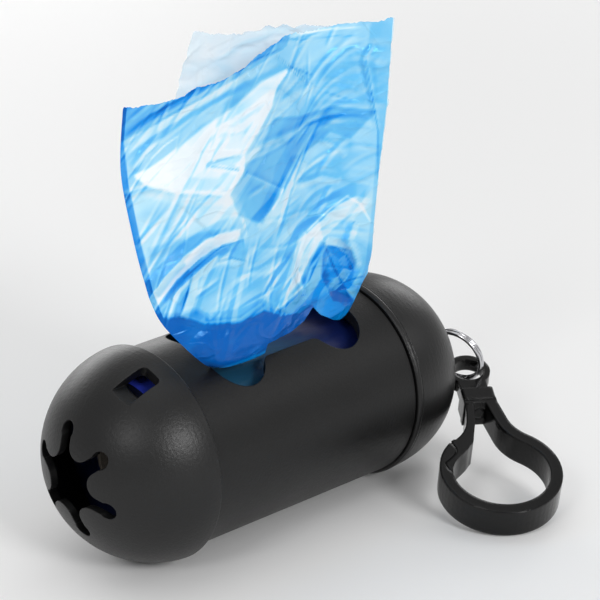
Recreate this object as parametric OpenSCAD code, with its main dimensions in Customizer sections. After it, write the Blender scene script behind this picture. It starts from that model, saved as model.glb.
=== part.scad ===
// Capsule dispenser for a roll of dog waste bags, with a split ring and a plastic snap hook.
// X runs along the capsule and Z is up. The origin is on the floor under the middle of the barrel.

/* [Barrel] */
// Outer diameter of the barrel at its front end
barrel_d = 37.8; // [36:0.1:42]
// How much the barrel's radius grows towards its rear end
barrel_draft = 0.6; // [0:0.05:0.8]
// Length of the barrel between its two shoulders
barrel_len = 50.3; // [48:0.1:56]
// Wall of the barrel and of both domes
wall = 1.5; // [1.4:0.05:1.8]
// Wall of the two spigots that the caps sit on
spigot_wall = 0.9; // [0.8:0.05:1]
// Length of the spigot under the front cap
front_spigot = 3.3; // [2.8:0.1:3.4]
// Length of the spigot under the rear cap
rear_spigot = 5; // [4.6:0.1:5.2]

/* [Bag slot] */
// Angle of the slot's centre from straight up, towards the front
slot_tilt = 12; // [0:1:20]
// Distance between the centres of the slot's two lobes
lobe_spacing = 24.4; // [22:0.2:27]
// Radius of the rounded corners of each lobe
lobe_r = 5.8; // [5:0.1:6.2]
// Half width of each lobe, measured straight across
lobe_half = 10.7; // [9.5:0.1:12]
// Half width of the slot's narrow middle
waist_half = 6.8; // [5.8:0.1:8]
// Radius of the round corners between lobes and middle
waist_fillet = 2; // [1:0.25:3]
// How far the slot sits off the barrel's middle
slot_shift = 0.6; // [0:0.1:1.5]

/* [Caps] */
// How far the caps stand proud of the barrel
cap_step = 1.3; // [1:0.05:1.5]
// Length of the front dome
front_dome = 18.6; // [17.5:0.1:22]
// Length of the rear dome
rear_dome = 19.9; // [18:0.05:22]
// Width of the bead round the rear cap's rim
bead_w = 1.5; // [1:0.1:2]
// How far the rear dome sits below the bead
bead_step = 0.1; // [0.05:0.05:0.4]
// Open gap between the barrel and the rear cap
rear_gap = 0.4; // [0.3:0.1:0.8]
// Gap between the barrel and the front cap
front_gap = 0.1; // [0.05:0.05:0.3]
// Radial clearance of a cap on its spigot
cap_fit = 0.1; // [0.05:0.05:0.2]

/* [Front cap openings] */
// Radius from the dome's axis to the tips of the six tongues
tongue_tip = 5.2; // [4.6:0.1:6]
// Radius of the rounded end of each tongue
tongue_r = 2.6; // [2.3:0.1:2.8]
// Radius from the axis to the centre of each arm's round end
arm_end = 9.1; // [8.6:0.1:9.8]
// Radius of each arm's round end
arm_end_r = 1.6; // [1.3:0.1:1.9]
// Turn of the star about the dome's axis
star_turn = -10; // [-30:1:30]
// Angle of the first key window from straight up, towards the front
window_turn = 20; // [0:1:40]
// Width of each key window
window_w = 4.8; // [4.6:0.2:6.6]
// Distance from the rim to each key window
window_from_rim = 3.8; // [3.6:0.1:4.6]
// Radius of the corners of each key window
window_round = 1; // [0.5:0.1:1.6]

/* [Bag roll] */
// How much smaller in radius the roll is than the barrel's bore
roll_gap = 1.3; // [1.1:0.1:3]
// How far the roll reaches past each end of the barrel
roll_reach = 4.9; // [3:0.1:5]
// Outer diameter of the card core
core_d = 17; // [14:0.5:20]
// Wall of the card core
core_wall = 0.8; // [0.6:0.1:1.4]
// Thickness of the pulled-out bag's solid
film_t = 0.9; // [0.6:0.1:1.2]

/* [Ring lug] */
// Half width of the lug's opening
lug_half = 4; // [3.8:0.1:5]
// Thickness of the lug's bars
lug_bar = 1.6; // [1.2:0.1:2]
// Height of the lug
lug_h = 2.4; // [2:0.1:2.8]
// How far the lug's opening stands out from the dome
lug_open = 3.3; // [3:0.05:4.5]

/* [Split ring] */
// Mean radius of the split ring
ring_r = 5.7; // [5.7:0.1:6.6]
// Diameter of the ring's wire
wire_d = 0.84; // [0.7:0.02:0.9]

/* [Snap hook] */
// Outer diameter of the hook's loop
loop_d = 23.4; // [22:0.2:27]
// Width of the hook's strip
strip_w = 2.3; // [2:0.1:2.5]
// Height of the hook's strip
strip_h = 5.9; // [5:0.1:6.6]
// Distance from the loop's centre to the front face of the hook's head
head_at = 19.2; // [18.6:0.1:21]
// Length of the head's collar
collar_len = 2.8; // [2.4:0.1:3.4]
// Width of the head's collar
collar_w = 6.6; // [6:0.1:7.6]
// Distance from the collar to the centre of the eye
eye_reach = 7.6; // [7.2:0.1:9]
// Radius of the hole in the swivel's eye
eye_hole_r = 3.1; // [3.1:0.1:3.6]
// Wall of the swivel's eye
eye_wall = 1.3; // [1.1:0.1:1.6]
// Thickness of the swivel's eye and neck
eye_t = 2.8; // [2.4:0.1:2.8]
// Radius of the swivel's stem
stem_r = 1; // [0.9:0.05:1.1]
// Radial clearance of the stem in the head
stem_fit = 0.05; // [0.03:0.01:0.1]
// Gap between the gate and the frame
gate_gap = 0.15; // [0.1:0.05:0.25]

/* [Hidden] */
$fn = 96;

// Capsule
overlap = 0.5;
barrel_r = barrel_d / 2;
barrel_rear_r = barrel_r + barrel_draft;
bore_r = barrel_r - wall;
spigot_r = bore_r + spigot_wall;
cap_bore_r = spigot_r + cap_fit;
cap_r = barrel_r + cap_step;
axis_z = cap_r;
half_len = barrel_len / 2;
front_rim = -half_len - front_gap;
rear_rim = half_len + rear_gap;
rear_dome_r = cap_r - bead_step;
bead_valley = 0.2;
bead_edge = 0.35;
pole_x = rear_rim + bead_w - bead_valley + rear_dome;
rim_round = 0.5;
dome_steps = 28;
front_power = [1.78, 2.15];
rear_power = [2.3, 2.45];

// Bayonet of the rear cap
bayonet_turn = 60;
bayonet_lug_w = 4;
bayonet_lug_len = 1.4;
bayonet_lug_h = 0.45;
bayonet_at = 2.6;
bayonet_gap = 0.2;
bayonet_angles = [100, 280];

// Key lugs of the front cap
key_w = 4.4;
key_len = 2.4;
key_h = 0.85;
key_gap = 0.3;
key_from_rim = 0.8;

// Roll and film
roll_r = bore_r - roll_gap;
roll_clear = 0.4;
roll_z = axis_z - (roll_gap - roll_clear);
roll_len = barrel_len + 2 * roll_reach;
roll_top = roll_z + roll_r;

// Ring: where its wire passes the lug, and how its plane leans
ring_stand = 1.45;
lug_wire = [pole_x + ring_stand, -2.95, axis_z];
ring_azimuth = 11.5;
ring_lean = 17;
lug_angle = 85.7;
eye_angle = 322;
band_step = 0.38;
ring_center = lug_wire - ring_r * ring_dir(lug_angle);

// Hook: the eye hangs on the ring and the loop's front edge is just clear of the floor
eye_wire = ring_center + ring_r * ring_dir(eye_angle);
eye_offset = [-0.8, 0.9, 0.28];
eye_center = eye_wire + eye_offset;
hook_yaw = 53.4;
hook_clear = 0.28;
bar_len = 1.4;
eye_at = head_at + bar_len + collar_len + eye_reach;
reach_to_front = eye_at + loop_d / 2;
hook_pitch = asin((eye_center[2] - hook_clear) / norm([reach_to_front, strip_h / 2]))
    - atan2(strip_h / 2, reach_to_front);

// Hook outline, seen from above: x along the hook towards the eye, y to the gate's side
loop_mid_r = (loop_d - strip_w) / 2;
arm_from = 38;
arm_lean = 10;
arm_bend_r = 9.3;
arm_bend = (loop_mid_r + arm_bend_r) * [cos(arm_from), sin(arm_from)];
arm_end_pt = arm_bend - arm_bend_r * [sin(arm_lean), cos(arm_lean)];
gate_w = 1.7;
gate_pivot_x = head_at - gate_gap - gate_w / 2;
gate_pivot = [gate_pivot_x, arm_y(gate_pivot_x)];
lip_end = 47;
lip_line = [[90, 2.3], [86, 1.8], [82, 1.42], [75, 1.07], [69.7, 1.57], [59.7, 2.16], [50.8, 1.96], [47, 1.1]];
gate_inside = [[88.5, 2.45], [82, 2.55], [64.6, 3.2], [52, 3.6], [40, 3.6], [30, 3.1], [23.8, 2.6], [18, 1.2]];
head_r = 1.3;
head_len = 0.8;
head_clear = 0.1;
neck_w = 5.6;
neck_gap = 0.2;
collar_h = 6.3;
collar_round = 0.7;
collar_lift = 0.15;

// Point at an angle round the ring, one unit from its centre
function ring_dir(a) =
    let (tilt = 90 - ring_lean)
    let (p = [cos(a) * cos(tilt), sin(a), -cos(a) * sin(tilt)])
    [p[0] * cos(ring_azimuth) - p[1] * sin(ring_azimuth),
     p[0] * sin(ring_azimuth) + p[1] * cos(ring_azimuth),
     p[2]];

// Side distance of the straight arm's centre line
function arm_y(x) = arm_end_pt[1] - (x - arm_end_pt[0]) * tan(arm_lean);

// Points of an arc in the plane
function arc(center, r, from, to) =
    let (steps = max(2, ceil(abs(to - from) / 6)))
    [for (i = [0 : steps]) let (a = from + (to - from) * i / steps) center + r * [cos(a), sin(a)]];

function mirrored(points, sx, sy) = [for (p = points) [sx * p[0], sy * p[1]]];
function reversed(points) = [for (i = [len(points) - 1 : -1 : 0]) points[i]];

// Smooth line through points given as [angle, distance in from the loop's outside]
function loop_line(points) = [
    for (i = [0 : len(points) - 2], k = [0 : 3])
        let (a = points[max(i - 1, 0)], b = points[i], c = points[i + 1], d = points[min(i + 2, len(points) - 1)])
        let (t = k / 4)
        let (p = b + t * (c - a) / 2 + t * t * (2 * a - 5 * b + 4 * c - d) / 2
            + t * t * t * (3 * b - a - 3 * c + d) / 2)
        (loop_d / 2 - p[1]) * [cos(p[0]), sin(p[0])]
];

// Half profile of a dome: [radius, height] from its rim to its pole
function dome_profile(r, len, power) = [
    for (i = [0 : dome_steps])
        let (t = 90 * i / dome_steps)
        [r * pow(cos(t), 2 / power[1]), len * pow(sin(t), 2 / power[0])]
];

// A round solid standing along -X or +X, from the profile of its half section
module turned(x, side) {
    translate([x, 0, axis_z]) rotate([0, side * 90, 0]) rotate_extrude() children();
}

// A flat shape pushed along +X; its own x points down and its y to the rear
module pushed(x, len) {
    translate([x, 0, axis_z]) rotate([0, 90, 0]) linear_extrude(len) children();
}

// A tube along X
module tube(x, len, r_out, r_in) {
    pushed(x, len) difference() {
        circle(r_out);
        circle(r_in);
    }
}

// A block at an angle round the capsule's axis, from radius r0 to r1
module radial_block(x, len, w, r0, r1, turn) {
    translate([0, 0, axis_z]) rotate([turn, 0, 0])
        translate([x, -w / 2, r0]) cube([len, w, r1 - r0]);
}

module dome_section(r, len, power) {
    polygon(concat([[0, 0]], dome_profile(r, len, power)));
}

// ---- Front cap ----

module star() {
    neck_at = (tongue_tip + tongue_r) * cos(30);
    neck_half = (tongue_tip + tongue_r) / 2 - tongue_r;
    difference() {
        circle(neck_at);
        for (k = [0 : 5])
            rotate(60 * k + 30) translate([tongue_tip + tongue_r, 0]) circle(tongue_r);
    }
    for (k = [0 : 5]) rotate(60 * k) {
        translate([neck_at - overlap, -neck_half]) square([arm_end - neck_at + overlap, 2 * neck_half]);
        translate([arm_end, 0]) circle(arm_end_r);
    }
}

// Outline of a key window: x along the cap, y around it
module window_shape() {
    near = front_rim - window_from_rim - window_round;
    far = front_rim - window_from_rim - front_dome / 2 + window_round;
    side = window_w / 2 - window_round;
    polygon(concat(
        arc([near, side], window_round, 0, 90), arc([far, side], window_round, 90, 180),
        arc([far, -side], window_round, 180, 270), arc([near, -side], window_round, 270, 360)
    ));
}

module front_cap() color([0.06, 0.06, 0.06]) {
    window_floor = cap_bore_r - 2.1;
    difference() {
        turned(front_rim, -1) difference() {
            union() {
                dome_section(cap_r, front_dome, front_power);
            }
            translate([cap_r - rim_round, -1]) difference() {
                square([rim_round + 1, 1 + rim_round]);
                translate([0, 1 + rim_round]) circle(rim_round);
            }
            square([cap_bore_r, front_spigot + front_gap]);
            dome_section(cap_bore_r, front_dome - wall, front_power);
        }
        pushed(front_rim - front_dome - 1, front_dome / 2) rotate(180 + star_turn) star();
        for (turn = [window_turn, window_turn + 180])
            translate([0, 0, axis_z]) rotate([turn, 0, 0]) translate([0, 0, window_floor])
                linear_extrude(cap_r + 1 - window_floor) window_shape();
    }
    for (turn = [window_turn, window_turn + 180])
        intersection() {
            radial_block(
                front_rim - key_from_rim - key_len, key_len,
                key_w, cap_bore_r - key_h, cap_r - wall / 2, turn
            );
            tube(front_rim - front_dome, front_dome, cap_bore_r + wall / 4, bore_r);
        }
}

// ---- Barrel ----

// The slot seen square on: x along the barrel, y across it
module slot_shape() {
    lobe = [lobe_spacing / 2, lobe_half - lobe_r];
    fillet_y = waist_half + waist_fillet;
    fillet = [lobe[0] - sqrt(pow(lobe_r + waist_fillet, 2) - pow(fillet_y - lobe[1], 2)), fillet_y];
    touch = atan2(fillet[1] - lobe[1], fillet[0] - lobe[0]);
    corner = concat(arc(lobe, lobe_r, 0, touch), arc(fillet, waist_fillet, touch - 180, -90));
    polygon(concat(
        corner, reversed(mirrored(corner, -1, 1)), mirrored(corner, -1, -1), reversed(mirrored(corner, 1, -1))
    ));
}

module barrel() color([0.05, 0.05, 0.05]) {
    difference() {
        union() {
            turned(0, 1) polygon([
                [bore_r, -half_len - front_spigot], [spigot_r, -half_len - front_spigot],
                [spigot_r, -half_len], [barrel_r, -half_len], [barrel_rear_r, half_len],
                [spigot_r, half_len], [spigot_r, half_len + rear_spigot], [bore_r, half_len + rear_spigot]
            ]);
            for (turn = bayonet_angles)
                intersection() {
                    radial_block(
                        half_len + bayonet_at, bayonet_lug_len,
                        bayonet_lug_w, bore_r + spigot_wall / 2, cap_r, turn
                    );
                    tube(half_len, rear_spigot, spigot_r + bayonet_lug_h, bore_r);
                }
        }
        translate([slot_shift, 0, axis_z]) rotate([slot_tilt, 0, 0])
            linear_extrude(barrel_rear_r + 1) slot_shape();
        for (turn = [window_turn, window_turn + 180])
            radial_block(
                -half_len - front_spigot - 1, front_spigot + 1,
                key_w + 2 * key_gap, bore_r - 1, spigot_r + 1, turn
            );
    }
}

// ---- Rear cap ----

// The turning groove and the way in for one bayonet lug
module bayonet_track(turn) {
    half_angle = asin((bayonet_lug_w / 2 + bayonet_gap) / spigot_r);
    track_r = spigot_r + bayonet_lug_h + 0.12;
    translate([half_len + bayonet_at - bayonet_gap, 0, axis_z]) rotate([turn - half_angle, 0, 0])
        rotate([0, 90, 0]) rotate_extrude(angle = bayonet_turn + 2 * half_angle, start = 180)
            translate([bore_r, 0]) square([track_r - bore_r, bayonet_lug_len + 2 * bayonet_gap]);
    radial_block(
        rear_rim - 1, half_len + bayonet_at - rear_rim + 1 + bayonet_gap,
        bayonet_lug_w + 2 * bayonet_gap, bore_r, track_r, turn + bayonet_turn
    );
}

// The staple-shaped lug that the split ring passes through
module ring_lug() {
    root = 1.2;
    outer_round = 2.2;
    inner_round = 1.3;
    len = root + lug_open + lug_bar;
    half = lug_half + lug_bar;
    translate([pole_x - root, 0, axis_z - lug_h / 2]) linear_extrude(lug_h) difference() {
        union() {
            translate([0, -half]) square([len - outer_round, 2 * half]);
            translate([0, outer_round - half]) square([len, 2 * (half - outer_round)]);
            for (side = [-1, 1])
                translate([len - outer_round, side * (half - outer_round)]) circle(outer_round);
        }
        translate([-1, -lug_half]) square([root + lug_open + 1 - inner_round, 2 * lug_half]);
        translate([-1, inner_round - lug_half])
            square([root + lug_open + 1, 2 * (lug_half - inner_round)]);
        for (side = [-1, 1])
            translate([root + lug_open - inner_round, side * (lug_half - inner_round)]) circle(inner_round);
    }
}

module rear_cap() color([0.05, 0.05, 0.05]) {
    bead_r = bead_w / 2;
    bore_len = rear_spigot - rear_gap + 0.3;
    difference() {
        turned(rear_rim, 1) difference() {
            union() {
                translate([0, bead_w - bead_valley]) dome_section(rear_dome_r, rear_dome, rear_power);
                square([cap_r - bead_edge, bead_w]);
                square([cap_r - bead_r, bead_w]);
                translate([cap_r - bead_r, bead_r]) circle(bead_r);
            }
            translate([0, -1]) square([cap_bore_r, bore_len + 1]);
            translate([0, bead_w - bead_valley])
                dome_section(rear_dome_r - wall, rear_dome - wall, rear_power);
        }
        for (turn = bayonet_angles) bayonet_track(turn);
    }
    ring_lug();
}

// ---- Roll of bags ----

module roll_core() color([0.72, 0.6, 0.45]) {
    translate([0, 0, roll_z - axis_z]) tube(-roll_len / 2, roll_len, core_d / 2, core_d / 2 - core_wall);
}

module bag_roll() color([0.1, 0.42, 0.72]) {
    translate([0, 0, roll_z - axis_z]) tube(-roll_len / 2, roll_len, roll_r, core_d / 2);
}

// ---- Pulled-out bag ----

// Each row is one level of the film, from its free front edge round the fold to its free back edge.
// Heights are above the top of the roll.
film_slot_row = [
    [-15, -6, 2], [-12, -8.5, 1.6], [-6, -8, 1.6], [2, -7, 1.6], [10, -8, 1.6], [15, -6.5, 2],
    [15, -3.5, 2], [10, -1, 2], [2, -0.5, 2], [-6, -0.5, 2], [-13.5, -2, 2]
];
film_low_row = [
    [-28.6, -8, 14], [-18, -11, 12], [-8, -10, 11], [2, -7, 11], [12, -5.5, 11], [22.5, -8, 12.5],
    [21, -4.5, 12], [12, 0, 11], [2, 1, 11], [-8, 0, 11.5], [-22, -4, 12]
];
film_mid_row = [
    [-33.7, -8, 28], [-17, -8.5, 29], [-4, -6.5, 30], [8, -4, 30], [18, -4.5, 30], [26.4, -8, 30],
    [25, -3, 30], [17, 2, 31], [5, 4, 31], [-8, 3, 31], [-19, -1, 31]
];
film_high_row = [
    [-36.5, -8, 43], [-19, -8, 44], [-5, -7, 45], [8, -3, 46], [18, -3, 46], [28, -8, 46],
    [27, -3, 46], [20, 2, 47], [8, 4, 47], [-4, 4, 47], [-13, 2.5, 47]
];
film_top_row = [
    [-34.8, -8, 51.5], [-18, -8, 53], [-4, -6.5, 54.5], [8, -1, 56.5], [18, -2, 57.5], [28.6, -8.5, 58],
    [27, -4, 57.5], [20, 2, 56.5], [10, 4, 56.5], [0, 4.5, 57], [-9.4, 3, 58.8]
];
film_rows = [film_slot_row, film_low_row, film_mid_row, film_high_row, film_top_row];

// Direction square to the film, in plan, at point i of a row
function film_side(row, i) =
    let (a = row[max(i - 1, 0)], b = row[min(i + 1, len(row) - 1)])
    let (d = [b[0] - a[0], b[1] - a[1]])
    [-d[1], d[0], 0] / norm(d);

module pulled_bag() color([0.45, 0.76, 0.95]) {
    n = len(film_slot_row);
    last = len(film_rows) - 1;
    outer = [for (row = film_rows, i = [0 : n - 1]) row[i] + film_t / 2 * film_side(row, i) + [0, 0, roll_top]];
    inner = [for (row = film_rows, i = [0 : n - 1]) row[i] - film_t / 2 * film_side(row, i) + [0, 0, roll_top]];
    m = len(outer);
    front = [for (j = [0 : last - 1], i = [0 : n - 2]) let (k = j * n + i) each [
        [k, k + n + 1, k + 1], [k, k + n, k + n + 1]
    ]];
    back = [for (j = [0 : last - 1], i = [0 : n - 2]) let (k = m + j * n + i) each [
        [k, k + 1, k + n + 1], [k, k + n + 1, k + n]
    ]];
    bottom = [for (i = [0 : n - 2]) each [[i, i + 1, m + i + 1], [i, m + i + 1, m + i]]];
    top = [for (i = [0 : n - 2]) let (k = last * n + i) each [[k, m + k + 1, k + 1], [k, m + k, m + k + 1]]];
    sides = [for (j = [0 : last - 1]) let (k = j * n, e = j * n + n - 1) each [
        [k, m + k, m + k + n], [k, m + k + n, k + n],
        [e, m + e + n, m + e], [e, e + n, m + e + n]
    ]];
    polyhedron(concat(outer, inner), concat(front, back, bottom, top, sides));
}

// ---- Split ring ----

module split_ring() color([0.8, 0.8, 0.82]) {
    translate(ring_center) rotate([0, 90 - ring_lean, ring_azimuth]) rotate_extrude()
        for (side = [-1, 1]) translate([ring_r, side * band_step]) circle(wire_d / 2, $fn = 48);
}

// ---- Snap hook ----

// Places the hook: its eye on the ring and its loop down on the floor
module hook_place() {
    translate(eye_center) rotate([0, -hook_pitch, hook_yaw]) translate([-eye_at, 0, 0]) children();
}

// Outline of the frame: lip, loop, arm and the bar across the head
module frame_shape() {
    w = strip_w / 2;
    bend = [arm_bend[0], -arm_bend[1]];
    bar_y = arm_y(head_at) + w;
    polygon(concat(
        arc([0, 0], loop_d / 2, lip_end - 1, 360 - arm_from),
        arc(bend, arm_bend_r - w, 180 - arm_from, 90 + arm_lean),
        [[head_at, -bar_y], [head_at + bar_len, -bar_y], [head_at + bar_len, bar_y], [head_at, bar_y]],
        [[head_at, w - arm_y(head_at)]],
        arc(bend, arm_bend_r + w, 90 + arm_lean, 180 - arm_from),
        arc([0, 0], loop_d / 2 - strip_w, 360 - arm_from, 92),
        loop_line(lip_line), [(loop_d / 2 - 0.5) * [cos(lip_end - 1.5), sin(lip_end - 1.5)]]
    ));
}

module hook_frame() color([0.04, 0.04, 0.04]) hook_place() {
    difference() {
        union() {
            translate([0, 0, -strip_h / 2]) linear_extrude(strip_h) frame_shape();
            translate([head_at + bar_len - overlap, 0, collar_lift]) rotate([90, 0, 90])
                linear_extrude(collar_len + overlap) collar_shape();
        }
        translate([head_at - 1, 0, 0]) rotate([0, 90, 0])
            cylinder(r = stem_r + stem_fit, h = bar_len + collar_len + 2, $fn = 48);
        translate([head_at - 1, 0, 0]) rotate([0, 90, 0])
            cylinder(r = head_r + head_clear, h = 1 + head_len + head_clear, $fn = 48);
    }
}

module collar_shape() {
    half = [collar_w / 2 - collar_round, collar_h / 2 - collar_round];
    polygon(concat(
        arc(half, collar_round, 0, 90), arc(mirrored([half], -1, 1)[0], collar_round, 90, 180),
        arc(-half, collar_round, 180, 270), arc(mirrored([half], 1, -1)[0], collar_round, 270, 360)
    ));
}

// Outline of the gate: its thin arm, its shoulder, and the nose that lies inside the frame's lip
module gate_shape() {
    w = gate_w / 2;
    polygon(concat(
        arc(gate_pivot, w, -90 - arm_lean, 90 - arm_lean),
        arc(arm_bend, arm_bend_r - w, 270 - arm_lean, 180 + arm_from),
        arc([0, 0], loop_d / 2, arm_from + 2, lip_end - 4),
        reversed(loop_line([for (p = lip_line) p + [p[0] < 50 ? -1 : 0, gate_gap]])),
        loop_line(gate_inside),
        arc(arm_bend, arm_bend_r + w, 262 - arm_lean, 270 - arm_lean)
    ));
}

module hook_gate() color([0.04, 0.04, 0.04]) hook_place() {
    translate([0, 0, -strip_h / 2]) linear_extrude(strip_h) gate_shape();
}

// The eye, its neck and the stem that turns in the hook's head
module swivel_eye() color([0.04, 0.04, 0.04]) hook_place() {
    neck_from = head_at + bar_len + collar_len + neck_gap;
    difference() {
        union() {
            translate([eye_at, 0, -eye_t / 2]) cylinder(r = eye_hole_r + eye_wall, h = eye_t);
            translate([neck_from, -neck_w / 2, -eye_t / 2]) cube([eye_at - neck_from, neck_w, eye_t]);
        }
        translate([eye_at, 0, -eye_t / 2 - 1]) cylinder(r = eye_hole_r, h = eye_t + 2);
    }
    translate([head_at + head_len / 2, 0, 0]) rotate([0, 90, 0])
        cylinder(r = stem_r, h = neck_from + overlap - head_at - head_len / 2, $fn = 48);
    translate([head_at, 0, 0]) rotate([0, 90, 0]) cylinder(r = head_r, h = head_len, $fn = 48);
}

front_cap();
barrel();
rear_cap();
roll_core();
bag_roll();
pulled_bag();
split_ring();
swivel_eye();
hook_frame();
hook_gate();
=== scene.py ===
import math
import random
import bmesh
import bpy
import numpy as np
from mathutils import Matrix, Vector


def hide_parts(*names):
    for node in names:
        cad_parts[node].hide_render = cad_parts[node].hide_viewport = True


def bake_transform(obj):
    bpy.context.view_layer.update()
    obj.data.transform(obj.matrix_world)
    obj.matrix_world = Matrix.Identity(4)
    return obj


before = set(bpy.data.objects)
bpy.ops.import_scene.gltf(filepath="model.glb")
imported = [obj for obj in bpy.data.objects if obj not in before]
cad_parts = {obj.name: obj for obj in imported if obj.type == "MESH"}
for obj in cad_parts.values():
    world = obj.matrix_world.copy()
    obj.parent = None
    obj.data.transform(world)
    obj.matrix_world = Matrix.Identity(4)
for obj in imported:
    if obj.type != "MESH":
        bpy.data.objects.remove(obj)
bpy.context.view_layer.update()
scene = bpy.context.scene
scene.view_settings.view_transform = "Standard"

# ---------------------------------------------------------------- camera
CAM = Vector((-0.236855, -0.253652, 0.170570))
LOOK = Vector((0.65914, 0.66800, -0.34542))
UP = Vector((0.24261, 0.24588, 0.93845))
RIGHT = LOOK.cross(UP).normalized()
LENS, SENSOR = 120.05, 36  # mm
FOCAL_PX, CENTRE_PX = 2000.84, 300  # the same lens in the pixels of a 600 by 600 picture, and its middle

cam_data = bpy.data.cameras.new("camera")
cam_data.sensor_width = SENSOR
cam_data.lens = LENS
cam_data.clip_start, cam_data.clip_end = 0.02, 20
cam = bpy.data.objects.new("camera", cam_data)
scene.collection.objects.link(cam)
cam.matrix_world = Matrix.Translation(CAM) @ Matrix((RIGHT, UP, -LOOK)).transposed().to_4x4()
scene.camera = cam

# ---------------------------------------------------------------- material helpers
NOISE_SPAN = (0.3, 0.7)
VEIN_WIDTH = 0.05


class Mat:
    """A Principled material and short ways to add nodes to it. Sizes are in metres in the object's frame."""

    def __init__(self, name, color, rough, **sockets):
        self.m = bpy.data.materials.new(name)
        self.m.use_nodes = True
        self.t = self.m.node_tree
        self.p = self.t.nodes["Principled BSDF"]
        self.p.inputs["Base Color"].default_value = (*color, 1)
        self.p.inputs["Roughness"].default_value = rough
        for key, value in sockets.items():
            self.p.inputs[key.replace("_", " ")].default_value = value
        coord = self.t.nodes.new("ShaderNodeTexCoord")
        self.co, self.normal = coord.outputs["Object"], coord.outputs["Normal"]

    def put(self, value, socket):
        """Links value to the socket where it is a socket itself, or sets it there."""
        if isinstance(value, bpy.types.NodeSocket):
            self.t.links.new(value, socket)
        else:
            socket.default_value = value

    def node(self, kind, **inputs):
        n = self.t.nodes.new("ShaderNode" + kind)
        for key, value in inputs.items():
            self.put(value, n.inputs[key.replace("_", " ")])
        return n

    def noise(self, size, detail=3, rough=0.5, stretch=(1, 1, 1)):
        co = self.co
        if stretch != (1, 1, 1):
            co = self.node("Mapping", Vector=self.co, Scale=stretch).outputs[0]
        return self.node("TexNoise", Vector=co, Scale=1 / size, Detail=detail, Roughness=rough).outputs["Fac"]

    def attribute(self, name):
        n = self.t.nodes.new("ShaderNodeAttribute")
        n.attribute_name = name
        return n.outputs["Fac"]

    def ramp(self, fac, *stops):
        """Stops are (position, colour) or (position, grey)."""
        r = self.node("ValToRGB", Fac=fac)
        while len(r.color_ramp.elements) < len(stops):
            r.color_ramp.elements.new(0.5)
        for e, (pos, color) in zip(r.color_ramp.elements, stops):
            e.position = pos
            e.color = (*color, 1) if hasattr(color, "__len__") else (color, color, color, 1)
        return r.outputs[0]

    def range(self, fac, a, b, lo=0.0, hi=1.0):
        """From a where fac is lo to b where it is hi."""
        return self.node("MapRange", Value=fac, From_Min=lo, From_Max=hi, To_Min=a, To_Max=b).outputs[0]

    def vary(self, noise, a, b):
        """From a to b over the span that most of a noise lies in."""
        return self.range(noise, a, b, *NOISE_SPAN)

    def math(self, op, a, b=0.0):
        n = self.t.nodes.new("ShaderNodeMath")
        n.operation = op
        self.put(a, n.inputs[0])
        self.put(b, n.inputs[1])
        return n.outputs[0]

    def mix(self, fac, a, color):
        """From a where fac is 0 to the colour where it is 1."""
        n = self.t.nodes.new("ShaderNodeMix")
        n.data_type = "RGBA"
        # The colour sockets share their names with those of other data types, so they are taken by number.
        self.put(fac, n.inputs[0])
        self.put(a, n.inputs[6])
        self.put((*color, 1), n.inputs[7])
        return n.outputs[2]

    def veins(self, size, stretch):
        """Thin lines of 1 where a noise crosses its middle, and 0 between them."""
        off = self.math("ABSOLUTE", self.math("SUBTRACT", self.noise(size, 2, 0.5, stretch), 0.5))
        return self.range(off, 1.0, 0.0, 0.0, VEIN_WIDTH)

    def set(self, name, socket):
        self.t.links.new(socket, self.p.inputs[name])

    def bump(self, height, distance, strength=1.0, edge=0.0):
        """Edge is the radius over which sharp edges are shaded round."""
        n = self.node("Bump", Height=height, Distance=distance, Strength=strength)
        if edge:
            self.t.links.new(self.node("Bevel", Radius=edge).outputs[0], n.inputs["Normal"])
        self.set("Normal", n.outputs[0])


def black_plastic(name, rough, grain, color=(0.004, 0.004, 0.0041), spread=0.06, shine=0.34, edge=0.00025):
    """Moulded black plastic. Grain is the size of its bumps, and its roughness varies by spread."""
    m = Mat(name, color, rough, Specular_IOR_Level=shine)
    fine = m.noise(grain, 4, 0.6)
    broad = m.noise(0.012, 2)
    m.set("Base Color", m.ramp(broad, (0.3, color), (0.75, tuple(c * 1.35 for c in color))))
    both = m.math("ADD", m.math("MULTIPLY", fine, 0.5), m.math("MULTIPLY", broad, 0.5))
    m.set("Roughness", m.vary(both, rough - spread, rough + spread))
    m.bump(fine, 0.00007, 0.7, edge)
    return m.m


# ---------------------------------------------------------------- materials of the CAD nodes
NODE_MATS = {
    "front_cap": black_plastic("cap_black", 0.40, 0.0005, shine=0.42),
    "barrel": black_plastic("barrel_black", 0.42, 0.0005),
    "rear_cap": black_plastic("rear_black", 0.36, 0.0005, shine=0.42),
    "swivel_eye": black_plastic("hook_black", 0.15, 0.0012, (0.002, 0.002, 0.0021), 0.05, 0.32, 0.0007),
}
NODE_MATS["hook_frame"] = NODE_MATS["hook_gate"] = NODE_MATS["swivel_eye"]

card = Mat("roll_card", (0.48, 0.36, 0.24), 0.85)
fibres = card.noise(0.0008, 4, 0.7)
card.set("Base Color", card.ramp(fibres, (0.3, (0.10, 0.085, 0.07)), (0.7, (0.17, 0.15, 0.125))))
card.bump(card.noise(0.0006, 3), 0.00008)
NODE_MATS["roll_core"] = card.m

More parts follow.
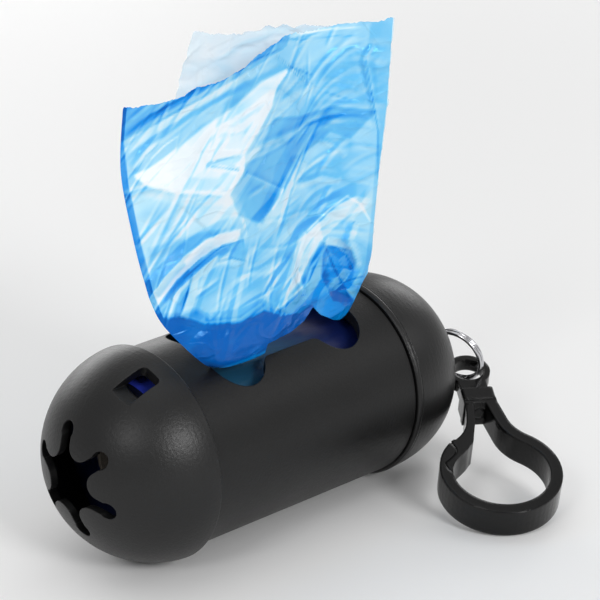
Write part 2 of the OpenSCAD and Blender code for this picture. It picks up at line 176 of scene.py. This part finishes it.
# The wound film's colour holds painted light and shade: it is painted deep blue at the end by the star
# opening, teal under the slot and dark with painted shade at the other end.
ROLL_X = (-0.030, 0.026)
roll = Mat("roll_film", (0.01, 0.07, 0.16), 0.32)
along = roll.range(roll.node("SeparateXYZ", Vector=roll.co).outputs["X"], 0.0, 1.0, *ROLL_X)
uneven = roll.vary(roll.noise(0.006, 3, 0.5, (0.4, 1, 1)), -0.08, 0.08)
# Painted light and shade along the roll, by how far it lies from the openings.
roll_blue_and_painted_shade = roll.ramp(roll.math("ADD", along, uneven),
                  (0.08, (0.02, 0.035, 0.34)), (0.22, (0.012, 0.075, 0.13)),
                  (0.55, (0.010, 0.060, 0.12)), (0.8, (0.004, 0.010, 0.07)))
# The roll's end faces are painted near black, as painted shade inside the caps.
facing = roll.node("SeparateXYZ", Vector=roll.normal).outputs["X"]
shaded_end_face = roll.math("GREATER_THAN", roll.math("ABSOLUTE", facing), 0.7)
roll.set("Base Color", roll.mix(shaded_end_face, roll_blue_and_painted_shade, (0.004, 0.007, 0.03)))
roll.bump(roll.noise(0.004, 3, 0.5, (0.25, 1, 1)), 0.0006, 0.6)
NODE_MATS["bag_roll"] = roll.m

nickel = Mat("nickel", (0.56, 0.56, 0.58), 0.16, Metallic=1.0)
tarnish = nickel.noise(0.003, 2)
nickel.set("Base Color", nickel.ramp(tarnish, (0.3, (0.46, 0.46, 0.48)), (0.7, (0.64, 0.64, 0.66))))
nickel.set("Roughness", nickel.vary(nickel.noise(0.0007, 3), 0.10, 0.26))
nickel.bump(nickel.noise(0.0005, 3), 0.00002, 0.4)
NODE_MATS["split_ring"] = nickel.m

for name, material in NODE_MATS.items():
    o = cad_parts[name]
    if o.material_slots:
        for s in o.material_slots:
            s.material = material
    else:
        o.data.materials.append(material)

# ---------------------------------------------------------------- floor and light
FLOOR_HALF = 3.0
bm = bmesh.new()
bmesh.ops.create_grid(bm, x_segments=1, y_segments=1, size=FLOOR_HALF)
floor_mesh = bpy.data.meshes.new("floor")
bm.to_mesh(floor_mesh)
bm.free()
floor = bpy.data.objects.new("floor", floor_mesh)
scene.collection.objects.link(floor)
fm = Mat("floor_white", (0.88, 0.88, 0.88), 0.6, Specular_IOR_Level=0.2)
fm.set("Base Color", fm.ramp(fm.noise(0.4, 2), (0.3, (0.875, 0.875, 0.875)), (0.7, (0.885, 0.885, 0.885))))
floor.data.materials.append(fm.m)

# The world lights the object in white, and the camera sees pale grey beyond the floor.
WORLD_LIGHT = 0.50
BACKDROP = 0.91
world = bpy.data.worlds.new("world")
scene.world = world
world.use_nodes = True
wt = world.node_tree
bg = wt.nodes["Background"]
bg.inputs["Color"].default_value = (1, 1, 1, 1)
bg.inputs["Strength"].default_value = WORLD_LIGHT
seen = wt.nodes.new("ShaderNodeBackground")
seen.inputs["Color"].default_value = (BACKDROP, BACKDROP, BACKDROP, 1)
seen.inputs["Strength"].default_value = 1.0
path = wt.nodes.new("ShaderNodeLightPath")
blend = wt.nodes.new("ShaderNodeMixShader")
wt.links.new(path.outputs["Is Camera Ray"], blend.inputs[0])
wt.links.new(bg.outputs[0], blend.inputs[1])
wt.links.new(seen.outputs[0], blend.inputs[2])
wt.links.new(blend.outputs[0], wt.nodes["World Output"].inputs[0])

# Name, place, point aimed at, size (m) and power (W) of each area lamp.
LAMPS = [
    ("key", (-0.14, -1.00, 0.58), (0, 0, 0.06), (0.32, 0.28), 5.0),
    ("left", (-0.98, -0.36, 0.75), (0, 0, 0.03), (0.28, 0.28), 2.2),
    ("side", (0.85, -0.75, 0.75), (0, 0, 0.05), (0.5, 0.5), 0.9),
    ("back", (0.38, 1.05, 0.30), (0, 0, 0.05), (0.9, 0.4), 3.6),
    ("right", (1.05, 0.42, 0.42), (0, 0, 0.04), (0.4, 0.4), 1.3),
    ("top", (0.0, 0.1, 1.5), (0, 0, 0.03), (1.2, 1.2), 2.8),
]
for name, at, to, size, power in LAMPS:
    light = bpy.data.lights.new(name, "AREA")
    light.shape = "RECTANGLE"
    light.size, light.size_y = size
    light.energy = power
    lamp = bpy.data.objects.new(name, light)
    scene.collection.objects.link(lamp)
    lamp.location = at
    lamp.rotation_euler = (Vector(to) - Vector(at)).to_track_quat("-Z", "Y").to_euler()

# ---------------------------------------------------------------- the bag: tables
# Rows of the film from the slot up, each from the free front edge round the fold to the free back edge (mm).
ROWS = [
    [(-12, -3.5, 35.7), (-10, -5, 35.6), (-5, -6, 35.5), (1, -6, 35.5), (7, -6, 35.6), (13, -5, 35.7),
     (12, -3.2, 35.8), (7, -2, 35.8), (1, -1.4, 35.8), (-5, -1.4, 35.8), (-10, -2, 35.8)],
    [(-18.5, -9.5, 37.6), (-15.5, -11.2, 37.2), (-8, -11.3, 37.2), (-1, -10.6, 37.9), (7, -9.2, 38.3),
     (17.2, -7.6, 36.8), (15, -4, 38), (8, -1.6, 38.6), (1, -0.8, 38.6), (-7, -0.8, 38.6), (-13, -2, 38.6)],
    [(-24.5, -10.5, 42.8), (-18.5, -12.6, 42), (-10, -12.8, 41.6), (-1.5, -12, 42), (8.5, -9, 42),
     (20.8, -8, 40.8), (18, -4, 42), (10, -0.8, 43), (1, 0.4, 43), (-8, 0.2, 43), (-16, -2.5, 43)],
    [(-28.9, -8.5, 49), (-20.5, -10.8, 48.5), (-10, -11.4, 48), (-1, -10.2, 48), (10, -7.4, 48),
     (24.2, -8, 47), (21, -3.6, 48), (12, 0.2, 49), (2, 1.4, 49), (-8, 1, 49), (-18.5, -1.8, 49)],
    [(-31.4, -8, 56), (-21.5, -9.2, 56), (-9, -9, 56), (1.5, -7.6, 56), (12, -5.6, 56), (25.2, -8, 55),
     (22.5, -3, 56), (14, 1.4, 56), (3, 2.6, 56), (-8, 2, 56), (-18, -0.6, 56)],
    [(-34, -8, 66), (-22.5, -8.6, 66), (-9, -7.6, 66), (3, -5.6, 66), (14, -4.4, 66), (26.4, -8, 65),
     (24, -2.8, 66), (16, 2.2, 66), (4.5, 3.6, 66), (-7, 3, 66), (-17, 0.6, 66)],
    [(-35.9, -8, 77), (-23, -8.6, 77), (-8.5, -7, 77), (5, -4.6, 78), (16, -3.6, 78), (28.2, -8, 77),
     (26, -3, 78), (18, 2.2, 78), (7, 4, 79), (-4.5, 3.8, 80), (-15, 2.6, 81)],
    [(-35, -8, 87.3), (-23.5, -8.4, 87.2), (-9, -6.8, 88.6), (6, -2.8, 91.3), (17.5, -1.6, 91.4),
     (29.5, -8, 92.2), (27.2, -3.2, 90.6), (19, 2, 91.2), (9, 3.8, 92), (-1, 3.8, 92.2), (-9.7, 3, 94.2)],
]

# The front leaf's folds as the camera sees them: a line of points in the 600 by 600 picture, its half width
# in pixels, and how far it is lifted towards the camera (mm).
FOLDS = [
    ([(291, 68), (270, 92), (264, 112), (254, 135), (242, 155), (240, 171), (231, 190), (212, 206),
      (198, 222)], 34, 1.9),
    ([(240, 171), (228, 192), (200, 192), (175, 190), (150, 183), (134, 171)], 14, 0.9),
    ([(124, 140), (150, 122), (180, 105), (225, 80), (262, 58), (287, 36)], 7, 0.5),
    ([(122, 158), (150, 138), (190, 112), (232, 88), (280, 66)], 6, -0.45),
    ([(245, 226), (222, 233), (205, 242), (187, 254), (165, 277), (148, 300)], 12, 1.3),
    ([(243, 240), (212, 247), (196, 262), (176, 280), (160, 300), (152, 318)], 9, -0.9),
    ([(248, 260), (217, 256), (203, 266), (186, 278), (172, 300)], 8, 0.8),
    ([(192, 274), (188, 296), (180, 318)], 8, 0.8),
    ([(375, 200), (355, 197), (338, 205), (322, 220), (308, 233), (296, 262), (290, 284), (280, 310)], 14,
      1.6),
    ([(326, 244), (318, 262), (310, 280), (296, 298), (280, 312)], 9, 1.1),
    ([(310, 234), (302, 252), (298, 272), (302, 296)], 7, -0.7),
    ([(326, 244), (336, 246), (346, 254), (352, 270), (344, 282), (336, 290), (352, 302)], 8, -1.6),
    ([(354, 222), (348, 240), (356, 262), (352, 280)], 6, 0.7),
    ([(300, 158), (286, 188), (277, 204), (256, 226)], 9, 0.8),
    ([(246, 174), (262, 181), (283, 191)], 5, 0.45),
    ([(291, 68), (302, 80), (314, 96), (320, 110)], 6, 0.4),
    ([(205, 162), (222, 158), (243, 156)], 6, -0.7),
    ([(212, 165), (228, 168), (243, 172)], 5, 0.5),
    ([(372, 44), (364, 58), (374, 110), (378, 132)], 4, 0.4),
    ([(176, 312), (205, 322), (240, 318), (262, 302), (276, 310)], 9, 0.7),
    ([(270, 92), (250, 108), (228, 122), (205, 132), (190, 150)], 8, 0.5),
    ([(262, 112), (246, 122), (232, 131)], 5, 0.4),
    ([(160, 130), (146, 150), (132, 168)], 5, 0.35),
    ([(322, 140), (336, 146), (345, 156)], 4, 0.35),
    ([(282, 182), (300, 184), (322, 176), (340, 180)], 5, 0.35),
    ([(330, 186), (322, 204), (316, 214)], 4, 0.3),
]

# Small creases: seed, number, range of half length (mm), slope, mean and spread of direction (radians), and
# range of half width (mm). The first two lie all over the film and the third mostly near its top edge.
CRUMPLES = [
    (11, 220, (3, 10), 0.55, 0.32, 0.35, (0.4, 0.9)),
    (12, 50, (8, 24), 0.40, 0.28, 0.25, (0.5, 1.3)),
    (13, 90, (2, 7), 0.5, 0.9, 0.9, (0.4, 0.9)),
]

# Where the film is open, between its gathered base and its right lobe (pixels). Both leaves are cut.
NOTCH = [(313, 307), (304, 321), (291, 332), (268, 344), (262, 362), (376, 352), (376, 300), (357, 312),
         (348, 320), (334, 320), (321, 315)]

# Patches of the front leaf that change its colour: outline and softness of its edge in pixels, and what it
# adds to the layers. Those below 0 are painted highlights where facets catch the light, and those above 0
# deepen the blue.
LAYER_AND_LIGHT_PATCHES = [
    ([(285, 72), (262, 84), (235, 108), (205, 128), (178, 150), (150, 170), (136, 176), (150, 186),
      (178, 192), (205, 193), (228, 195), (243, 172), (243, 155), (256, 132), (266, 110), (272, 92)], 3,
      -0.36),
    ([(300, 118), (330, 108), (374, 112), (350, 137), (330, 130), (312, 145), (296, 158), (282, 182),
      (262, 222), (240, 215), (232, 195), (246, 170), (262, 150), (275, 120)], 3, 0.24),
    ([(292, 70), (374, 60), (376, 112), (330, 108), (300, 118), (275, 120), (262, 150), (255, 135),
      (266, 110)], 3, 0.08),
    ([(120, 108), (150, 104), (200, 88), (230, 73), (260, 53), (290, 31), (286, 45), (262, 62), (225, 84),
      (190, 104), (150, 126), (120, 142)], 2, 0.22),
    ([(110, 100), (127, 100), (123, 142), (128, 185), (141, 246), (153, 293), (163, 319), (150, 322),
      (120, 240)], 1, 0.42),
    ([(372, 20), (400, 10), (398, 95), (384, 175), (380, 222), (374, 265), (354, 317), (346, 317), (366, 265),
      (371, 222), (375, 175), (378, 130), (366, 60)], 1, 0.10),
    ([(140, 318), (180, 318), (196, 312), (212, 322), (240, 322), (262, 304), (278, 312), (300, 296),
      (312, 262), (322, 250), (326, 290), (350, 300), (360, 330), (300, 345), (240, 375), (190, 375)], 6,
      0.30),
    ([(158, 322), (182, 319), (205, 326), (240, 325), (264, 313), (282, 319), (300, 316), (311, 308),
      (304, 330), (250, 354), (205, 370), (168, 350)], 4, 0.52),
    ([(132, 192), (178, 198), (232, 200), (240, 216), (205, 238), (165, 282), (152, 286)], 8, -0.13),
    ([(325, 246), (345, 250), (352, 268), (340, 284), (352, 300), (334, 300), (322, 275)], 2, 0.34),
    ([(150, 250), (200, 235), (245, 230), (235, 240), (205, 255), (185, 275), (165, 300), (152, 290)], 4,
      0.15),
    ([(300, 236), (318, 222), (322, 240), (308, 262), (300, 280), (284, 306), (278, 308), (290, 270)], 2,
      -0.2),
    ([(205, 240), (240, 230), (236, 240), (212, 254), (190, 270), (186, 262)], 2, -0.25),
]

# Crease lines painted into the colour only, not relief: a line in pixels, its half width, and what it adds to
# the layers, which is below 0 for a painted highlight along the crease and above 0 for painted shade along
# it.
PAINTED_CREASE_LINES = [
    ([(288, 70), (276, 86), (273, 98), (270, 108), (264, 120), (256, 136)], 2.2, -0.42),
    ([(284, 188), (279, 199), (272, 210)], 1.8, -0.45),
    ([(349, 195), (330, 209), (313, 225), (307, 232)], 2.0, -0.42),
    ([(306, 232), (301, 250), (296, 268), (303, 291)], 2.4, -0.40),
    ([(326, 245), (318, 258), (311, 268), (306, 284), (286, 302), (275, 311)], 2.4, -0.45),
    ([(240, 234), (222, 240), (204, 251), (190, 264), (174, 281), (160, 300), (154, 312)], 3.0, -0.40),
    ([(244, 240), (222, 246), (202, 262), (184, 279)], 1.6, 0.30),
    ([(193, 274), (188, 292), (182, 312)], 1.8, 0.42),
    ([(204, 165), (222, 160), (240, 155)], 2.2, 0.26),
    ([(206, 166), (225, 169), (243, 172)], 1.8, 0.32),
    ([(245, 174), (262, 181), (282, 190)], 1.4, -0.22),
    ([(125, 136), (150, 116), (186, 96), (222, 78), (256, 61)], 2.4, 0.22),
    ([(124, 148), (146, 130), (176, 112), (214, 92)], 1.8, 0.18),
    ([(224, 70), (240, 58), (262, 47), (281, 38)], 1.8, 0.24),
    ([(252, 62), (270, 54), (284, 48)], 1.4, 0.24),
    ([(290, 67), (304, 72), (314, 76)], 1.6, 0.24),
    ([(324, 92), (338, 96), (352, 100)], 1.4, 0.20),
    ([(218, 262), (232, 258), (247, 261)], 1.8, 0.30),
    ([(325, 246), (334, 268), (346, 290), (351, 301)], 1.8, 0.30),
    ([(338, 284), (350, 280), (364, 276)], 1.6, 0.28),
    ([(330, 246), (342, 248), (352, 252)], 1.6, 0.26),
    ([(346, 196), (360, 204), (371, 222)], 1.8, -0.28),
    ([(160, 143), (146, 156), (134, 176)], 1.2, 0.22),
    ([(150, 160), (164, 146), (178, 136)], 1.6, -0.25),
    ([(278, 28), (300, 33), (330, 29), (362, 27)], 1.8, -0.30),
    ([(274, 36), (300, 40), (332, 36), (366, 36)], 1.4, 0.16),
    ([(372, 44), (365, 58), (372, 96), (378, 132), (378, 180)], 1.3, 0.24),
]

# ---------------------------------------------------------------- the bag: helpers
STROKE_TAPER = 0.35  # the lower, the blunter a stroke's ends
CREASE_BOW = 0.012  # the most that a small crease curves (per mm)


def smooth_net(rows, nu, nv):
    """A fine grid of points through a coarse one, by Catmull-Rom lines both ways."""
    def along(p, n):
        t = np.linspace(0, len(p) - 1, n)
        i = np.minimum(t.astype(int), len(p) - 2)
        f = (t - i).reshape(-1, *([1] * (p.ndim - 1)))
        a, b, c, d = p[np.maximum(i - 1, 0)], p[i], p[i + 1], p[np.minimum(i + 2, len(p) - 1)]
        return (b + f * (c - a) / 2 + f * f * (2 * a - 5 * b + 4 * c - d) / 2
                + f ** 3 * (3 * b - a - 3 * c + d) / 2)

    p = along(np.array(rows, float), nv)
    return np.swapaxes(along(np.swapaxes(p, 0, 1), nu), 0, 1)


def run_length(net, axis):
    """Distance along the film (mm) from its first point on that axis."""
    step = np.linalg.norm(np.diff(net, axis=axis), axis=-1)
    return np.insert(np.cumsum(step, axis), 0, 0, axis) * 1000


def to_photo(p):
    """Where points in the row frame (metres) fall in the 600 by 600 picture."""
    d = p - np.array(CAM)
    k = FOCAL_PX / (d @ np.array(LOOK))
    return np.stack([CENTRE_PX + k * (d @ np.array(RIGHT)), CENTRE_PX - k * (d @ np.array(UP))], -1)


def ease(x, start, span, low=0.0):
    """Rises to 1 over span from start, and is never under low."""
    return np.clip((x - start) / span, low, 1)


def stroke(q, pts, half):
    """1 on a line drawn through pts, falling to 0 at distance half and towards the line's two ends."""
    best = np.full(q.shape[:-1], 1e9)
    along = np.zeros(q.shape[:-1])
    pts = np.array(pts, float)
    seg = np.linalg.norm(np.diff(pts, axis=0), axis=1)
    total, run = seg.sum(), 0.0
    for a, b, length in zip(pts[:-1], pts[1:], seg):
        t = np.clip(((q - a) @ (b - a)) / length ** 2, 0, 1)
        d = np.linalg.norm(q - (a + t[..., None] * (b - a)), axis=-1)
        nearer = d < best
        best = np.where(nearer, d, best)
        along = np.where(nearer, (run + t * length) / total, along)
        run += length
    return np.clip(1 - best / half, 0, 1) * np.clip(4 * along * (1 - along), 0, 1) ** STROKE_TAPER


def crumple(q, seed, count, reach, slope, mean, spread, width):
    """Small sharp creases at random places, mostly running one way. q is in mm along and up the film."""
    rng = random.Random(seed)
    lo, hi = q.reshape(-1, 2).min(0), q.reshape(-1, 2).max(0)
    h = np.zeros(q.shape[:-1])
    for _ in range(count):
        c = np.array([rng.uniform(lo[0], hi[0]), rng.uniform(lo[1], hi[1])])
        a = rng.gauss(mean, spread)
        d, n = np.array([math.cos(a), math.sin(a)]), np.array([-math.sin(a), math.cos(a)])
        length, half = rng.uniform(*reach), rng.uniform(*width)
        r = q - c
        x, y = r @ d, r @ n
        bow = y - CREASE_BOW * rng.uniform(-1, 1) * x * x
        w = np.clip(1 - np.abs(bow) / half, 0, 1) * np.clip(1 - (x / length) ** 2, 0, 1)
        h += rng.choice((-1, 1)) * slope * half * rng.uniform(0.4, 1.0) * w
    return h


def inside(q, poly, soft):
    """1 inside a polygon, falling to 0 over soft pixels outside it."""
    poly = np.array(poly, float)
    x, y = q[..., 0], q[..., 1]
    hit = np.zeros(x.shape, bool)
    near = np.full(x.shape, 1e9)
    for a, b in zip(poly, np.roll(poly, -1, 0)):
        hit ^= ((a[1] > y) != (b[1] > y)) & (x < (b[0] - a[0]) * (y - a[1]) / (b[1] - a[1] + 1e-9) + a[0])
        t = np.clip(((q - a) @ (b - a)) / max((b - a) @ (b - a), 1e-9), 0, 1)
        near = np.minimum(near, np.linalg.norm(q - a - t[..., None] * (b - a), axis=-1))
    return np.where(hit, 1.0, np.clip(1 - near / soft, 0, 1))


# ---------------------------------------------------------------- the bag: shape
# u runs from 0 at the film's free front edge to 1 at its free back edge, and v from 0 in the slot to 1 at the
# top edge.
NU, NV = 420, 260
FOLD_U = 0.5
FRONT_SOFT, FAR_SOFT = 0.03, 0.04  # the spans of u over which the front leaf ends and the far one starts
FOLDS_FROM = (0.06, 0.1)  # v where the folds start, and the span over which they come in
CRUMPLES_FROM = (0.1, 0.15)
TOP_FROM = (0.78, 0.15, 0.12)  # the same for the third kind of small creases, and their share below that
CRUMPLE_SHARE = 0.8
HARD = 0.01  # the softness of a cut, in pixels
EDGE_SEED, EDGE_SMOOTH, EDGE_WOBBLE = 5, 9, 0.0006  # the torn edge: seed, points smoothed over, height (m)
EDGE_ROWS = (0.2, 0.5, 1.0)  # the share of it that each of the top rows gets

net = smooth_net(ROWS, NU, NV) / 1000
normal = np.cross(np.gradient(net, axis=1), np.gradient(net, axis=0))
normal /= np.linalg.norm(normal, axis=-1, keepdims=True) + 1e-12
u = np.linspace(0, 1, NU)[None, :].repeat(NV, 0)
v = np.linspace(0, 1, NV)[:, None].repeat(NU, 1)
arc, rise = run_length(net, 1), run_length(net, 0)
flat = np.stack([arc, rise], -1)
front = ease(FOLD_U - u, 0, FRONT_SOFT)
px = to_photo(net)

lift = np.zeros((NV, NU))
for pts, half, amount in FOLDS:
    lift += amount * stroke(px, pts, half) * front
lift *= ease(v, *FOLDS_FROM)
short, long, top = (crumple(flat, *spec) for spec in CRUMPLES)
lift += (short + long + top * ease(v, *TOP_FROM)) * ease(v, *CRUMPLES_FROM) * CRUMPLE_SHARE

wobble = np.random.default_rng(EDGE_SEED).normal(0, 1, NU + EDGE_SMOOTH - 1)
wobble = np.convolve(wobble, np.ones(EDGE_SMOOTH) / EDGE_SMOOTH, "valid")
net[-len(EDGE_ROWS):, :, 2] += (np.array(EDGE_ROWS)[:, None] * wobble) * EDGE_WOBBLE
points = net + (lift / 1000)[..., None] * np.where(front[..., None] > 0, -np.array(LOOK), normal)

shown = to_photo(points)
middle = 0.25 * (shown[:-1, :-1] + shown[1:, :-1] + shown[:-1, 1:] + shown[1:, 1:])
solid = inside(middle, NOTCH, HARD) < 0.5
faces = [(j * NU + i, j * NU + i + 1, (j + 1) * NU + i + 1, (j + 1) * NU + i)
         for j in range(NV - 1) for i in range(NU - 1) if solid[j, i]]
bag_mesh = bpy.data.meshes.new("bag_film")
bag_mesh.from_pydata(points.reshape(-1, 3).tolist(), [], faces)
bag_mesh.polygons.foreach_set("use_smooth", [True] * len(faces))
bag = bpy.data.objects.new("bag_film", bag_mesh)
scene.collection.objects.link(bag)

# ---------------------------------------------------------------- the bag: layers and film
# Layers run from 0 for single film to 1 for the gathered base, and also carry painted highlights and painted
# shade from the crease lines, the patches and the slopes of the folds. They set the film's colour and
# clearness.
FRONT_LAYERS, BACK_LAYERS = 0.32, 0.10
SLOPE_PAINTED_SHADE = 0.36  # how strongly the sides of folds are painted lit or shaded by their slope: those that face down and right are painted paler as lit, and the others painted deeper as shade
SLOPE_RANGE = (-0.7, 0.6)
GATHER_TOP, GATHER_SPAN = 0.050, 0.012  # the height that the film gathers under, and over what span (m)
GATHER_FRONT, GATHER_BACK = 0.16, 0.6  # the layers that this adds to each leaf


def point_values(name, values):
    attribute = bag_mesh.attributes.new(name, "FLOAT", "POINT")
    attribute.data.foreach_set("value", np.clip(values, 0, 1).reshape(-1).astype(np.float32))


layers_and_painted_light = np.full((NV, NU), FRONT_LAYERS)
# Painted highlights and painted shade along the crease lines.
for pts, half, amount in PAINTED_CREASE_LINES:
    layers_and_painted_light += amount * stroke(px, pts, half) * (u < FOLD_U)
# Patches: painted highlights below 0, deeper blue above 0.
for poly, soft, amount in LAYER_AND_LIGHT_PATCHES:
    layers_and_painted_light += amount * inside(px, poly, soft) * (u < FOLD_U)
slope = (np.gradient(lift, axis=0) / (np.gradient(rise, axis=0) + 1e-6)
         - np.gradient(lift, axis=1) / (np.gradient(arc, axis=1) + 1e-6))
# Painted light and painted shade by the slope of the folds.
layers_and_painted_light -= np.clip(slope, *SLOPE_RANGE) * SLOPE_PAINTED_SHADE * front
layers_and_painted_light = np.where(u > FOLD_U, BACK_LAYERS, layers_and_painted_light)
layers_and_painted_light += ease(GATHER_TOP - net[..., 2], 0, GATHER_SPAN) * np.where(u > FOLD_U, GATHER_BACK, GATHER_FRONT)
point_values("layers_and_painted_light", layers_and_painted_light)
point_values("far_leaf", ease(u, FOLD_U, FAR_SOFT))

film = Mat("film_blue", (0.10, 0.46, 0.90), 0.24, Specular_IOR_Level=0.36, Specular_Tint=(0.25, 0.65, 1, 1),
           Coat_Weight=0.06, Coat_Roughness=0.1)
broad, fine = film.veins(0.016, (0.5, 1, 1.2)), film.veins(0.007, (0.6, 1, 1.3))
amount = film.math("ADD", film.attribute("layers_and_painted_light"), film.vary(film.noise(0.010, 3), -0.06, 0.06))
# The broad crease lines are painted deeper blue, as painted shade in the creases.
amount = film.math("ADD", amount, film.math("MULTIPLY", broad, 0.10))
# The near white stop is the painted highlight, and the deeper stops also hold painted shade.
blue_and_painted_light = film.ramp(amount, (0.0, (0.90, 0.96, 0.99)), (0.2, (0.44, 0.76, 0.92)), (0.45, (0.13, 0.51, 0.84)),
                 (0.75, (0.0, 0.25, 0.74)), (1.0, (0.0, 0.10, 0.44)))
film.set("Base Color", blue_and_painted_light)
opaque = film.ramp(amount, (0.0, 0.80), (0.15, 0.88), (0.4, 0.94), (1.0, 1.0))
film.set("Alpha", film.math("SUBTRACT", opaque, film.math("MULTIPLY", film.attribute("far_leaf"), 0.30)))
film.set("Roughness", film.vary(film.noise(0.004, 3), 0.12, 0.28))
folded = film.math("ADD", broad, film.math("MULTIPLY", fine, 0.5))
film.bump(film.math("ADD", folded, film.math("MULTIPLY", film.noise(0.0016, 3), 0.3)), 0.00035, 0.6)
bag_mesh.materials.append(film.m)
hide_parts("pulled_bag")
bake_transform(bag)
